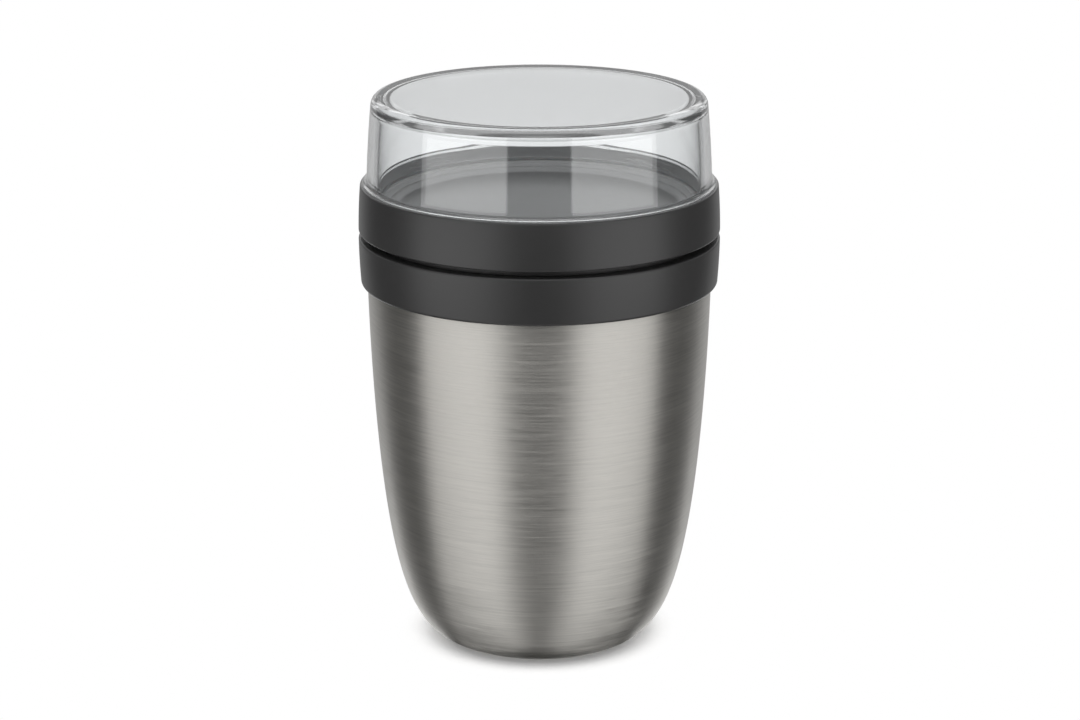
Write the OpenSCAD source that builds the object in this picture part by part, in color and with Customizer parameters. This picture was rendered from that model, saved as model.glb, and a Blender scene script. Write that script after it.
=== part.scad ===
// Insulated food container: a double-walled steel pot with an egg-shaped body, a screw divider
// that closes the pot and makes the floor of a small upper compartment, and a clear domed lid.
// Millimetres, +Z up, origin on the table under the middle of the base.

/* [Overall form] */
// Diameter that the steel body and the clear lid both reach at the parting plane
body_d = 102.5; // [98:0.5:108]
// Height of the parting plane between the two collars
parting_z = 124.8; // [120:0.1:130]
// How far the tip of the egg would reach below the table
tip_cut = 1.6; // [1.2:0.1:2.4]
// Exponent of the egg's height term, higher is blunter
egg_power = 1.7; // [1.6:0.05:1.9]
// Root of the egg's radius term, higher is squarer
egg_root = 6.6; // [6:0.1:7.4]

/* [Steel vessel] */
// Wall of the outer steel shell
shell_t = 0.8; // [0.7:0.05:1]
// Wall of the steel liner that holds the food
liner_t = 0.6; // [0.5:0.05:0.8]
// Step from the body's widest radius in to the hidden steel neck
neck_inset = 4.25; // [4:0.05:4.6]
// Vacuum gap between shell and liner at the neck
neck_gap = 2.6; // [2.2:0.1:3]
// Height of the sloping shoulder that leads into the neck
shoulder_h = 3; // [2.6:0.1:3.4]
// Length of straight shell that the lower collar hides below the shoulder
shoulder_cover = 1.6; // [1.2:0.1:2]
// Height of the liner's underside above the table
liner_lift = 8.6; // [7.8:0.1:10]
// Thickness of the reflecting foil round the liner
foil_t = 0.3; // [0.25:0.05:0.4]
// Gap between the foil and the liner
foil_gap = 0.25; // [0.2:0.05:0.4]
// Height on the liner at which the foil begins
foil_start = 9; // [7:0.5:12]
// Length of liner that the foil leaves bare below the neck's top
foil_stop = 12; // [10:0.5:14]

/* [Base] */
// Width of the flat ring that the pot stands on
foot_w = 2.8; // [2.2:0.1:3.4]
// Height of the turned-up edge inside the standing ring
foot_flange_h = 3.2; // [3:0.1:3.8]
// Thickness of the pad under the base, which is the depth of the recess
pad_t = 1.6; // [1.4:0.1:1.9]
// Radial clearance round the pad
pad_play = 0.3; // [0.2:0.05:0.4]
// Radius of the raised dimple in the base plate
dimple_r = 6; // [5.5:0.1:7]
// Height of the dimple
dimple_h = 1.6; // [1.4:0.1:2]
// Radius of the exhaust hole in the dimple
exhaust_r = 1; // [0.8:0.1:1.3]
// Radius of the bead that seals the exhaust hole
bead_r = 3.5; // [3:0.1:4]
// Thickness of the sealing bead
bead_t = 1; // [0.8:0.1:1.2]
// Gap between the dimple and the getter's clip
getter_gap = 0.5; // [0.3:0.1:1]
// Radius of the getter pellet
pellet_r = 3.2; // [2.6:0.1:3.6]
// Thickness of the getter pellet
pellet_h = 1.4; // [1:0.1:1.8]
// Thickness of the clip that holds the pellet
clip_t = 0.4; // [0.3:0.05:0.5]
// Width of the clip
clip_w = 3; // [2.4:0.1:3.6]
// Length of each of the clip's two feet
clip_foot = 2; // [1.6:0.1:2.6]

/* [Collars] */
// How far the collars stand out from the body's widest radius
collar_step = 2.25; // [2:0.05:2.6]
// Height of the dark gap between the collars
collar_gap = 1.9; // [1.5:0.1:2.3]
// Radius of the gentle crown up the outside of both collars
collar_crown = 180; // [150:1:240]
// Height of the lower collar's outer face
lower_collar_h = 13.95; // [13:0.05:15]
// Rounding of the lower collar's bottom edge
bottom_round = 0.9; // [0.7:0.05:1.1]
// Rounding of the two edges at the dark gap
gap_round = 0.6; // [0.4:0.05:0.8]
// Rounding of the upper collar's crest
crest_round = 0.5; // [0.4:0.05:0.6]
// Wall that the upper collar keeps beside the lid's bore
bore_wall = 1.2; // [1.1:0.05:1.4]
// Wall of the lower collar's threaded neck
neck_wall = 2.5; // [2.2:0.05:2.8]
// Thickness of the lower collar's flange over the steel lip
flange_t = 1.6; // [1.3:0.05:1.8]
// How far the flange's bore stands clear of the liner's bore
flange_clear = 0.4; // [0.3:0.05:0.6]
// Thickness of the flat seal between the flange and the steel lip
collar_seal_t = 0.6; // [0.5:0.05:0.8]
// Gap where a collar slides over steel
slip_fit = 0.1; // [0.05:0.01:0.15]
// Wall round the hollow in the lower collar
core_wall = 2.2; // [2:0.05:2.4]

/* [Divider] */
// Thickness of the dish's floor
floor_t = 1.6; // [1.4:0.05:1.8]
// Height of the lid's seat above the dish's floor
seat_rise = 2.2; // [2:0.05:2.4]
// Width of the slope that rises from the dish's floor
dish_slope_w = 2.8; // [2.4:0.1:3.4]
// Height of the dish's slope
dish_slope_h = 1.3; // [1.1:0.05:1.4]
// Width of the ledge between the dish's slope and the lid's seat
ledge_w = 2.15; // [1.8:0.05:2.5]
// How far the lid's seat reaches inside the lid's wall
seat_reach = 0.8; // [0.6:0.05:1]
// Depth of the plug that reaches into the mouth
plug_h = 12.4; // [10:0.1:14]
// Wall of the plug
plug_t = 1.6; // [1.4:0.1:2]
// Radial clearance of the plug in the liner
plug_play = 0.6; // [0.4:0.05:0.8]
// Gap round the insulating disc inside the plug
disc_play = 0.3; // [0.2:0.05:0.5]
// How far the divider's seal stands below the dish
seal_stand = 0.8; // [0.6:0.05:1]
// Depth of the groove that holds the divider's seal
seal_groove_h = 2; // [1.8:0.05:2.2]
// Wall left between the seal's groove and the bore below it
groove_land = 0.7; // [0.5:0.05:0.9]
// Clearance round a seal in its groove
seal_play = 0.1; // [0.05:0.01:0.15]

/* [Lid] */
// Height of the lid from its lower edge to its flat top
lid_h = 29.25; // [27:0.1:31]
// Radius of the gentle curve up the lid's wall
lid_crown = 418; // [380:1:470]
// Wall of the lid
lid_t = 3.4; // [3.1:0.05:3.6]
// Thickness of the lid's flat top
lid_top_t = 2.4; // [2.2:0.05:2.7]
// Rounding of the lid's outer top edge
lid_round = 2.6; // [2.3:0.1:2.9]
// Rounding of the lid's inner top edge
lid_inner_round = 3; // [2.6:0.1:3.4]
// Gap between the lid's foot and the collar's crest
foot_clear = 0.3; // [0.25:0.05:0.4]
// How far the lid's foot stands out from its wall
foot_out = 1.2; // [1:0.05:1.3]
// Height of the foot's upright edge
foot_edge_h = 0.35; // [0.3:0.05:0.5]
// Height of the fillet from the foot up to the lid's wall
foot_fillet = 1; // [0.8:0.05:1.3]
// Thickness of the lid's flat seal
lid_seal_t = 0.9; // [0.8:0.05:1]
// Margin by which the lid's seal stays inside the lid's lower edge
lid_seal_margin = 0.3; // [0.2:0.05:0.4]

/* [Screw threads] */
// Number of thread starts on each screw
thread_starts = 4; // [3:1:4]
// Radial gap that the threads work in, between divider and pot
pot_thread_gap = 1.3; // [1.2:0.05:1.4]
// Radial gap that the threads work in, between lid and divider
lid_thread_gap = 1.15; // [1.05:0.05:1.25]
// Clearance between a thread's crest and the wall opposite
crest_clear = 0.35; // [0.3:0.01:0.4]
// Clearance between two thread flanks
flank_play = 0.15; // [0.1:0.01:0.2]
// Rise of the pot's thread in one turn
pot_lead = 18; // [16:0.5:20]
// Height of the pot's thread section
pot_lug_h = 1.4; // [1.2:0.05:1.5]
// Angle that each pot thread covers
pot_lug_span = 36; // [30:1:38]
// Rise of the lid's thread in one turn
lid_lead = 12; // [11:0.5:13]
// Height of the lid's thread section
lid_lug_h = 0.9; // [0.8:0.05:0.95]
// Angle that each lid thread covers
lid_lug_span = 24; // [20:1:26]
// Distance of the upper thread from the edge above it
thread_margin = 0.25; // [0.2:0.05:0.3]
// Distance of the lower thread from the edge below it
thread_foot = 0.2; // [0.15:0.05:0.25]

/* [Hidden] */
// Facets of a full circle
$fn = 96;
// Angle from the side to the first thread, which keeps threads off the front
thread_turn = 45;
// Depth to which a thread's root is sunk into its wall
root_sink = 0.3;
// Share of a thread's section height that each flank takes
flank_share = 0.25;
// Share of a thread's depth that is left at its run-out ends
run_out_share = 0.35;
// Steps along each thread
thread_steps = 8;
// Points along the egg, along a crown and along a rounding
egg_steps = 44;
crown_steps = 10;
round_steps = 6;

body_r = body_d / 2;
tip_share = tip_cut / parting_z;

// Steel neck and liner
neck_r = body_r - neck_inset;
liner_r = neck_r - shell_t - neck_gap;
mouth_r = liner_r - liner_t;
liner_floor_z = liner_lift + liner_t;

// Lower collar
lower_top_z = parting_z - collar_gap / 2;
lower_bottom_z = lower_top_z - lower_collar_h;
shoulder_z = lower_bottom_z + shoulder_cover;
collar_r = body_r + collar_step;
thread_r = neck_r + slip_fit + neck_wall;

// Screws: each pair of threads and its margins set the height that the two pieces overlap
pot_lug_rise = pot_lead * pot_lug_span / 360;
lid_lug_rise = lid_lead * lid_lug_span / 360;
pot_screw_h = thread_margin + 2 * pot_lug_h + pot_lug_rise + flank_play + thread_foot;
lid_screw_h = thread_margin + 2 * lid_lug_h + lid_lug_rise + flank_play + thread_foot;
pot_lug_depth = pot_thread_gap - crest_clear;
lid_lug_depth = lid_thread_gap - crest_clear;

// Divider
upper_bottom_z = parting_z + collar_gap / 2;
neck_top_z = upper_bottom_z + pot_screw_h;
plate_z = neck_top_z + seal_stand;
floor_z = plate_z + floor_t;
seat_z = floor_z + seat_rise;
lid_bottom_z = seat_z + lid_seal_t;
crest_z = lid_bottom_z + lid_screw_h;
skirt_r = thread_r + pot_thread_gap;
groove_top_z = plate_z + seal_groove_h;
plug_r = mouth_r - plug_play;

// Stack on the steel lip
flange_z = neck_top_z - flange_t;
lip_z = flange_z - collar_seal_t;
lip_under_z = lip_z - liner_t;

// Lid
bore_r = collar_face_r(crest_z) - bore_wall;
lid_screw_r = bore_r - lid_thread_gap;
lid_top_z = lid_bottom_z + lid_h;
lid_foot_z = crest_z + foot_clear;
lid_wall_top_z = lid_top_z - lid_round;
lid_ceiling_z = lid_top_z - lid_top_t;
lid_inner_top_z = lid_ceiling_z - lid_inner_round;
lid_bore_r = lid_wall_r(lid_bottom_z) - lid_t;

// Threads
neck_lug_z = neck_top_z - thread_margin - (pot_lug_h + pot_lug_rise) / 2;
skirt_lug_z = neck_lug_z - pot_lug_h - flank_play;
bore_lug_z = crest_z - thread_margin - (lid_lug_h + lid_lug_rise) / 2;
lid_lug_z = bore_lug_z - lid_lug_h - flank_play;

// Base
foot_in_r = egg_r(body_r, 0, 0) - foot_w;
flange_in_r = foot_in_r - shell_t;
plate_top_z = pad_t + shell_t;
clip_half = pellet_r + clip_t + disc_play;
getter_x = dimple_r + 2 * shell_t + getter_gap + clip_foot + clip_half;

// Egg curve: radius at height z of an egg with its widest radius at the parting plane
// and its flat bottom at height low
function egg_depth(low, z) = max(0, parting_z - z) / ((parting_z - low) * (1 + tip_share));
function egg_r(widest, low, z) = widest * pow(1 - pow(egg_depth(low, z), egg_power), 1 / egg_root);

// Slope of the egg curve, radius per height
function egg_slope(widest, low, z) =
    let (u = egg_depth(low, z), rest = 1 - pow(u, egg_power))
    widest / egg_root * pow(rest, 1 / egg_root - 1) * egg_power * pow(u, egg_power - 1)
        / ((parting_z - low) * (1 + tip_share));

// Points up the egg from height z0 to z1, set in by a wall; they crowd where the egg turns in
function egg_wall(widest, low, z0, z1, wall) = [
    for (i = [0 : egg_steps])
        let (z = z0 + (z1 - z0) * pow(i / egg_steps, 2),
             m = egg_slope(widest, low, z),
             k = sqrt(1 + m * m))
        [egg_r(widest, low, z) - wall / k, z + wall * m / k]
];

// Radius at height z of a crowned face whose widest radius is at the parting plane
function crown_r(widest, radius, z) = widest - radius + sqrt(pow(radius, 2) - pow(z - parting_z, 2));
function collar_face_r(z) = crown_r(collar_r, collar_crown, z);
function lid_wall_r(z) = crown_r(body_r, lid_crown, z);

// Points up a collar's face, and up the lid's wall set in by a wall
function collar_face(z0, z1) = [
    for (i = [0 : crown_steps]) let (z = z0 + (z1 - z0) * i / crown_steps) [collar_face_r(z), z]
];
function lid_wall(z0, z1, wall) = [
    for (i = [0 : crown_steps]) let (z = z0 + (z1 - z0) * i / crown_steps) [lid_wall_r(z) - wall, z]
];

// Points round a circle or an ellipse from one angle to another
function bend(x, z, rx, rz, a0, a1) = [
    for (i = [0 : round_steps])
        let (a = a0 + (a1 - a0) * i / round_steps)
        [x + rx * cos(a), z + rz * sin(a)]
];

function reversed(points) = [for (i = [len(points) - 1 : -1 : 0]) points[i]];

// One thread: a bevelled section that follows the helix, with run-out ends
function thread_tip(root, tip, step) =
    step == 0 || step == thread_steps ? root + (tip - root) * run_out_share : tip;
function thread_section(root, tip, a, z, h) = [
    [root * cos(a), root * sin(a), z - h / 2],
    [tip * cos(a), tip * sin(a), z - h / 2 + h * flank_share],
    [tip * cos(a), tip * sin(a), z + h / 2 - h * flank_share],
    [root * cos(a), root * sin(a), z + h / 2]
];
function thread_points(root, tip, z, h, span, lead) = [
    for (i = [0 : thread_steps])
        let (a = span * (i / thread_steps - 1 / 2))
        for (p = thread_section(root, thread_tip(root, tip, i), a, z + lead * a / 360, h)) p
];
function thread_side_faces(n) = [
    for (i = [0 : n - 1], j = [0 : 3])
        let (a = 4 * i + j, b = 4 * i + (j + 1) % 4)
        for (f = [[a, b, b + 4], [a, b + 4, a + 4]]) f
];
function thread_faces(n) = concat(
    thread_side_faces(n),
    [[2, 1, 0], [3, 2, 0]],
    [[4 * n, 4 * n + 1, 4 * n + 2], [4 * n, 4 * n + 2, 4 * n + 3]]
);

// All the threads of one screw; the root lies outside the tip on a bore's threads
module threads(wall_r, depth, z, h, span, lead) {
    root = wall_r - sign(depth) * root_sink;
    tip = wall_r + depth;
    faces = thread_faces(thread_steps);
    for (k = [0 : thread_starts - 1])
        rotate(thread_turn + 360 * k / thread_starts)
            polyhedron(
                thread_points(root, tip, z, h, span, lead),
                depth < 0 ? [for (f = faces) reversed(f)] : faces
            );
}

// Outer steel shell: the egg, the shoulder and neck under the collar, and the standing ring
module outer_shell() {
    shoulder_r = egg_r(body_r, 0, shoulder_z);
    neck_z = shoulder_z + shoulder_h;
    shoulder_drop = shell_t / 2;
    color("silver")
        rotate_extrude()
            polygon(concat(
                [[foot_in_r, 0]],
                egg_wall(body_r, 0, 0, shoulder_z, 0),
                [[neck_r, neck_z], [neck_r, lip_under_z]],
                [[neck_r - shell_t, lip_under_z], [neck_r - shell_t, neck_z - shoulder_drop]],
                [[shoulder_r - shell_t, shoulder_z - shoulder_drop]],
                reversed(egg_wall(body_r, 0, 0, shoulder_z - shoulder_drop - shell_t, shell_t)),
                [[foot_in_r + shell_t, shell_t], [foot_in_r + shell_t, foot_flange_h]],
                [[foot_in_r, foot_flange_h]]
            ));
}

// Steel liner: a smaller egg that hangs from its turned-out lip
module inner_liner() {
    color("gainsboro")
        rotate_extrude()
            polygon(concat(
                [[0, liner_lift]],
                egg_wall(liner_r, liner_lift, liner_lift, parting_z, 0),
                [[liner_r, lip_under_z], [neck_r, lip_under_z], [neck_r, lip_z], [mouth_r, lip_z]],
                reversed(egg_wall(mouth_r, liner_floor_z, liner_floor_z, parting_z, 0)),
                [[0, liner_floor_z]]
            ));
}

// Reflecting foil wrapped round the liner in the vacuum
module radiation_foil() {
    low_z = liner_lift + foil_start;
    high_z = lip_under_z - foil_stop;
    inner_r = liner_r + foil_gap;
    color("peru")
        rotate_extrude()
            polygon(concat(
                egg_wall(inner_r + foil_t, liner_lift, low_z, high_z, 0),
                reversed(egg_wall(inner_r, liner_lift, low_z, high_z, 0))
            ));
}

// Plate that closes the shell from below, with the dimple that the air is drawn out of
module base_plate() {
    color("darkgray")
        rotate_extrude()
            polygon([
                [exhaust_r, pad_t + dimple_h], [dimple_r, pad_t + dimple_h],
                [dimple_r + shell_t, pad_t], [foot_in_r, pad_t],
                [foot_in_r, foot_flange_h], [flange_in_r, foot_flange_h], [flange_in_r, plate_top_z],
                [dimple_r + 2 * shell_t, plate_top_z], [dimple_r + shell_t, plate_top_z + dimple_h],
                [exhaust_r, plate_top_z + dimple_h]
            ]);
}

// Getter pellet, which binds the last gas in the vacuum
module getter_pellet() {
    color("dimgray") translate([getter_x, 0, plate_top_z]) cylinder(r = pellet_r, h = pellet_h);
}

// Clip welded to the base plate over the pellet
module getter_clip() {
    half = clip_half;
    top = pellet_h + clip_t;
    color("lightsteelblue")
        translate([getter_x, clip_w / 2, plate_top_z])
            rotate([90, 0, 0])
                linear_extrude(clip_w)
                    polygon([
                        [-half - clip_foot, 0], [-half + clip_t, 0], [-half + clip_t, top - clip_t],
                        [half - clip_t, top - clip_t], [half - clip_t, 0], [half + clip_foot, 0],
                        [half + clip_foot, clip_t], [half, clip_t], [half, top], [-half, top],
                        [-half, clip_t], [-half - clip_foot, clip_t]
                    ]);
}

// Bead of solder that seals the exhaust hole
module vacuum_bead() {
    bead_z = pad_t + dimple_h;
    color("gold")
        rotate_extrude()
            polygon([
                [0, bead_z - bead_t], [bead_r - bead_t / 2, bead_z - bead_t], [bead_r, bead_z - bead_t / 2],
                [bead_r, bead_z], [exhaust_r, bead_z], [exhaust_r, bead_z + shell_t],
                [0, bead_z + shell_t]
            ]);
}

// Soft pad in the recess under the base
module base_pad() {
    color("darkslategray") cylinder(r = foot_in_r - pad_play, h = pad_t);
}

// Lower collar: outer face, shoulder seat, threaded neck and the flange over the steel lip
module lower_collar() {
    grip_r = egg_r(body_r, 0, shoulder_z) + slip_fit;
    sleeve_r = neck_r + slip_fit;
    seat_top_z = shoulder_z + shoulder_h;
    core_top_z = lower_top_z - core_wall;
    core_in_r = thread_r + slip_fit;
    core_out_r = collar_face_r(shoulder_z) - core_wall;
    slope = shoulder_h / (grip_r - sleeve_r);
    color([0.2, 0.2, 0.2])
        union() {
            rotate_extrude()
                polygon(concat(
                    [[grip_r, lower_bottom_z]],
                    bend(collar_face_r(lower_bottom_z + bottom_round) - bottom_round,
                        lower_bottom_z + bottom_round, bottom_round, bottom_round, -90, 0),
                    collar_face(lower_bottom_z + bottom_round, lower_top_z - gap_round),
                    bend(collar_face_r(lower_top_z - gap_round) - gap_round,
                        lower_top_z - gap_round, gap_round, gap_round, 0, 90),
                    [[thread_r, lower_top_z], [thread_r, neck_top_z - slip_fit]],
                    [[thread_r - slip_fit, neck_top_z], [mouth_r + flange_clear, neck_top_z]],
                    [[mouth_r + flange_clear, flange_z], [sleeve_r, flange_z], [sleeve_r, seat_top_z]],
                    [[core_in_r, seat_top_z - (core_in_r - sleeve_r) * slope]],
                    [[core_in_r, core_top_z], [core_out_r, core_top_z]],
                    [[core_out_r, seat_top_z - (core_out_r - sleeve_r) * slope], [grip_r, shoulder_z]]
                ));
            threads(thread_r, pot_lug_depth, neck_lug_z, pot_lug_h, pot_lug_span, pot_lead);
        }
}

// Flat seal that keeps food out from between the collar and the steel lip
module collar_seal() {
    color("whitesmoke")
        translate([0, 0, lip_z])
            difference() {
                cylinder(r = neck_r, h = collar_seal_t);
                translate([0, 0, -collar_seal_t]) cylinder(r = mouth_r + 2 * flange_clear, h = 3 * collar_seal_t);
            }
}

// Seal in the divider's groove that presses on the top of the pot's neck
module divider_seal() {
    inner_r = neck_r + seal_play;
    color("whitesmoke")
        translate([0, 0, neck_top_z])
            difference() {
                cylinder(r = skirt_r - groove_land - seal_play, h = seal_stand + seal_groove_h);
                translate([0, 0, -seal_stand]) cylinder(r = inner_r, h = seal_groove_h + 3 * seal_stand);
            }
}

// Divider: upper collar, bore for the lid, dish, seal groove and threaded skirt in one moulding
module divider() {
    step_r = lid_bore_r - seat_reach;
    lip_fall = (seat_rise - dish_slope_h) / 2;
    slope_r = step_r - lip_fall - ledge_w;
    dish_r = slope_r - dish_slope_w;
    color([0.2, 0.2, 0.2])
        union() {
            rotate_extrude()
                polygon(concat(
                    [[0, plate_z], [neck_r, plate_z], [neck_r, groove_top_z]],
                    [[skirt_r - groove_land, groove_top_z], [skirt_r - groove_land, plate_z]],
                    [[skirt_r, plate_z], [skirt_r, upper_bottom_z]],
                    bend(collar_face_r(upper_bottom_z + gap_round) - gap_round,
                        upper_bottom_z + gap_round, gap_round, gap_round, -90, 0),
                    collar_face(upper_bottom_z + gap_round, crest_z - crest_round),
                    bend(collar_face_r(crest_z - crest_round) - crest_round,
                        crest_z - crest_round, crest_round, crest_round, 0, 90),
                    [[bore_r, crest_z], [bore_r, seat_z], [step_r, seat_z]],
                    [[step_r - lip_fall, floor_z + dish_slope_h + lip_fall]],
                    bend(dish_r, floor_z + dish_slope_h, dish_slope_w, dish_slope_h, 0, -90),
                    [[0, floor_z]]
                ));
            threads(skirt_r, -pot_lug_depth, skirt_lug_z, pot_lug_h, pot_lug_span, pot_lead);
            threads(bore_r, -lid_lug_depth, bore_lug_z, lid_lug_h, lid_lug_span, lid_lead);
        }
}

// Cup welded under the dish that reaches into the mouth of the pot
module plug_cup() {
    color([0.25, 0.25, 0.25])
        translate([0, 0, plate_z - plug_h])
            difference() {
                cylinder(r = plug_r, h = plug_h);
                translate([0, 0, plug_t]) cylinder(r = plug_r - plug_t, h = plug_h);
            }
}

// Disc of foam that fills the plug
module insulation_disc() {
    color("ivory")
        translate([0, 0, plate_z - plug_h + plug_t])
            cylinder(r = plug_r - plug_t - disc_play, h = plug_h - plug_t - disc_play);
}

// Flat seal between the lid's lower edge and its seat
module lid_seal() {
    color("whitesmoke")
        translate([0, 0, seat_z])
            difference() {
                cylinder(r = lid_screw_r - lid_seal_margin, h = lid_seal_t);
                translate([0, 0, -lid_seal_t]) cylinder(r = lid_bore_r + lid_seal_margin, h = 3 * lid_seal_t);
            }
}

// Clear lid: crowned wall, rounded top edge, flat top, spread foot and a thread below it
module clear_lid() {
    foot_r = lid_wall_r(lid_foot_z) + foot_out;
    fillet_z = lid_foot_z + foot_edge_h + foot_fillet;
    top_flat_r = lid_wall_r(lid_wall_top_z) - lid_round;
    ceiling_r = lid_wall_r(lid_inner_top_z) - lid_t - lid_inner_round;
    color([0.8, 0.85, 0.87, 0.4])
        union() {
            rotate_extrude()
                polygon(concat(
                    [[lid_bore_r, lid_bottom_z], [lid_screw_r, lid_bottom_z], [lid_screw_r, lid_foot_z]],
                    [[foot_r, lid_foot_z]],
                    bend(foot_r, fillet_z, foot_r - lid_wall_r(fillet_z), foot_fillet, -90, -180),
                    lid_wall(fillet_z + foot_fillet, lid_wall_top_z, 0),
                    bend(top_flat_r, lid_wall_top_z, lid_round, lid_round, 0, 90),
                    [[0, lid_top_z], [0, lid_ceiling_z]],
                    bend(ceiling_r, lid_inner_top_z, lid_inner_round, lid_inner_round, 90, 0),
                    reversed(lid_wall(lid_bottom_z, lid_inner_top_z, lid_t))
                ));
            threads(lid_screw_r, lid_lug_depth, lid_lug_z, lid_lug_h, lid_lug_span, lid_lead);
        }
}

outer_shell();
inner_liner();
radiation_foil();
base_plate();
getter_pellet();
getter_clip();
vacuum_bead();
base_pad();
lower_collar();
collar_seal();
divider_seal();
divider();
plug_cup();
insulation_disc();
lid_seal();
clear_lid();
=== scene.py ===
import logging
import math
from dataclasses import dataclass
from enum import Enum
from typing import Callable, Optional, Sequence, Union

import bpy
import numpy as np
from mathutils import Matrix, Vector


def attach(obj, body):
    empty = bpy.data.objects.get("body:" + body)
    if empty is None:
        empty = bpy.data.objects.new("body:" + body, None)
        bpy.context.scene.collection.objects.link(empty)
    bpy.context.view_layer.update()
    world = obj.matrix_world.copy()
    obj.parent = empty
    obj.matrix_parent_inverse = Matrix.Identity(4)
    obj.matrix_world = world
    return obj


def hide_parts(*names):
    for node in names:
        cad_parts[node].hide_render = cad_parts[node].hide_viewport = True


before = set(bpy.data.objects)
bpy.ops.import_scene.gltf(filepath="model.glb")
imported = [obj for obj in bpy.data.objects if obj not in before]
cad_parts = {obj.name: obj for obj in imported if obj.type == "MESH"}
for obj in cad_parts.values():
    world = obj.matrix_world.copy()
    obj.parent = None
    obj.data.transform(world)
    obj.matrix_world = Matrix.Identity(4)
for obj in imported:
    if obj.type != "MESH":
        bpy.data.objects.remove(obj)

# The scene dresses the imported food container: it turns smooth pieces for every part that shows,
# gives each piece its finish, and sets a plain studio round it. Outlines are in millimetres and
# are turned about the pot's axis; everything in Blender is in metres.

LOG = logging.getLogger("food_container")
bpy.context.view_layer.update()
MM = 0.001
DECIMETRE = 0.1

# Flats round a piece, by how finely it is seen.
ROUND_FLATS = 192
FINE_FLATS = 256
LID_FLATS = 320
# The bend, in degrees, from which a corner is rounded, and the one past which it is shaded sharp.
SOFT_BEND = 28
SHARP_BEND = 33
# The share of an edge that one rounding may take, and lengths that count as none.
EDGE_SHARE = 0.45
NO_LENGTH = 1e-6

Point = tuple[float, float]
Stops = tuple[Point, ...]
Spot = tuple[float, float, float]
Colour = tuple[float, float, float]
Paint = tuple[float, float, float, float]
Face = Callable[[float], float]
Relief = Callable[[np.ndarray, np.ndarray, np.ndarray], np.ndarray]
Piece = bpy.types.Object


class Body(Enum):
    """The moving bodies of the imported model."""

    POT = "vessel"
    DIVIDER_RING = "divider_ring"
    DIVIDER = "divider_cap"
    LID_RING = "lid_ring"
    LID = "lid"


class Slot(Enum):
    """The record's material slots, one for each kind of new piece."""

    SHELL = "brushed_shell"
    LINER = "polished_liner"
    PAD = "pad_rubber"
    CHARCOAL = "charcoal_plastic"
    PLUG = "plug_plastic"
    SEAL = "seal_silicone"
    CLEAR = "clear_plastic"


@dataclass(frozen=True)
class Link:
    """An output socket of a shader tree, wrapped so that it can be used in Python sums."""

    book: "ShaderBook"
    socket: bpy.types.NodeSocket

    def __add__(self, other: "Value") -> "Link":
        """Adds."""
        return self.book.maths("ADD", self, other)

    __radd__ = __add__

    def __sub__(self, other: "Value") -> "Link":
        """Subtracts."""
        return self.book.maths("SUBTRACT", self, other)

    def __rsub__(self, other: "Value") -> "Link":
        """Subtracts, from the left."""
        return self.book.maths("SUBTRACT", other, self)

    def __mul__(self, other: "Value") -> "Link":
        """Multiplies."""
        return self.book.maths("MULTIPLY", self, other)

    __rmul__ = __mul__

    def __truediv__(self, other: "Value") -> "Link":
        """Divides."""
        return self.book.maths("DIVIDE", self, other)

    def __neg__(self) -> "Link":
        """Changes the sign."""
        return self.book.maths("MULTIPLY", self, -1.0)


Value = Union[Link, float]


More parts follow.
